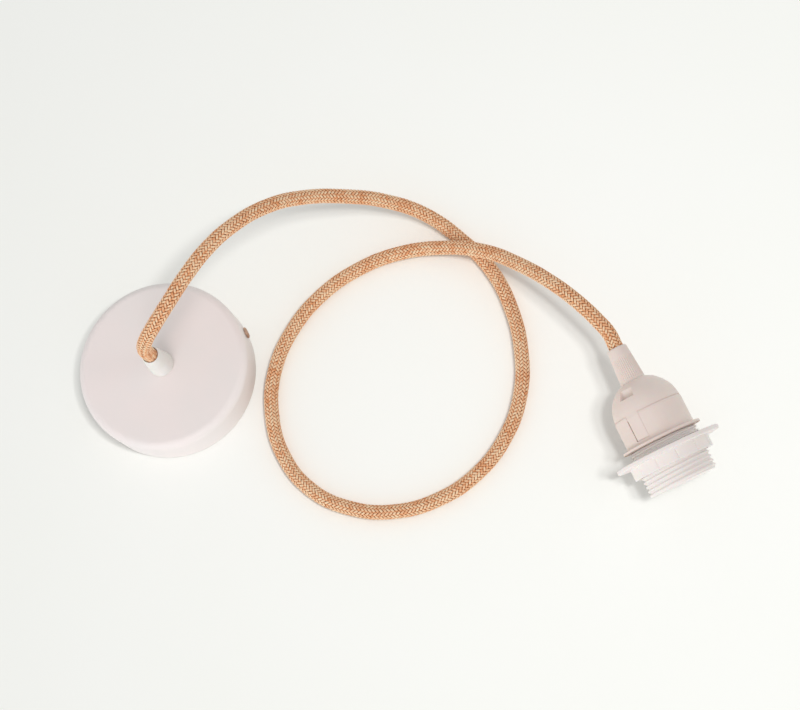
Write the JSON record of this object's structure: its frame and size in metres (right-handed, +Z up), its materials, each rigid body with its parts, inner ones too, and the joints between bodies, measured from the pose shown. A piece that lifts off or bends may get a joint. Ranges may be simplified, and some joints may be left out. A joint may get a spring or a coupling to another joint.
{
  "type": "pendant cord set",
  "caption": "Pendant cord set: round ceiling rose, textile covered cord with one open loop, and a screw lampholder with threaded skirt and shade ring.",
  "frame": {"origin": "centre of the ceiling rose in the plane of its rim, on the ceiling side of the mounting strap", "axes": "+Z up from the table, away from the ceiling face of the rose; +X along the strap, through both side screws; the lampholder's mouth points towards -Y, 7 degrees down"},
  "size_m": [0.3164, 0.244, 0.0903],
  "materials": {
    "painted_steel": "satin off-white powder coat",
    "zinc_steel": "zinc plated",
    "bronze_steel": "bronze plated",
    "brass": "plain",
    "white_nylon": "satin",
    "holder_plastic": "satin warm off-white",
    "carrier_plastic": "matte",
    "braid": "braided natural yarn",
    "core_brown": "satin",
    "core_blue": "satin",
    "core_earth": "satin"
  },
  "bodies": {
    "cord_set": {"rose_cup": "painted_steel", "mounting_strap": "zinc_steel", "side_screw_right": "bronze_steel", "side_screw_left": "bronze_steel", "cord_grip": "white_nylon", "cord_grip_nut": "zinc_steel", "cord_grip_screw": "white_nylon", "terminal_block": "white_nylon", "terminal_tube_live": "brass", "terminal_tube_neutral": "brass", "terminal_screw_live_cord": "zinc_steel", "terminal_screw_live_supply": "zinc_steel", "terminal_screw_neutral_cord": "zinc_steel", "terminal_screw_neutral_supply": "zinc_steel", "terminal_block_screw": "zinc_steel", "earth_tag": "brass", "earth_screw": "brass", "cord_tail_rose": "braid", "core_live_rose": "core_brown", "core_neutral_rose": "core_blue", "core_earth_rose": "core_earth", "cord": "braid", "holder_cap": "holder_plastic", "holder_grip_collar": "holder_plastic", "cord_clamp_ring": "white_nylon", "threaded_skirt": "holder_plastic", "contact_carrier": "carrier_plastic", "centre_contact": "brass", "side_contact": "brass", "terminal_plate_live": "brass", "terminal_plate_neutral": "brass", "plate_screw_live": "zinc_steel", "plate_screw_neutral": "zinc_steel", "cord_tail_holder": "braid", "core_live_holder": "core_brown", "core_neutral_holder": "core_blue"},
    "shade_ring": {"shade_ring": "holder_plastic"}
  },
  "joints": [
    {"name": "shade_ring_travel", "type": "slide", "parent": "cord_set", "child": "shade_ring", "axis": [0, -0.9925, -0.1219], "range_m": [-0.0048, 0.022]}
  ]
}
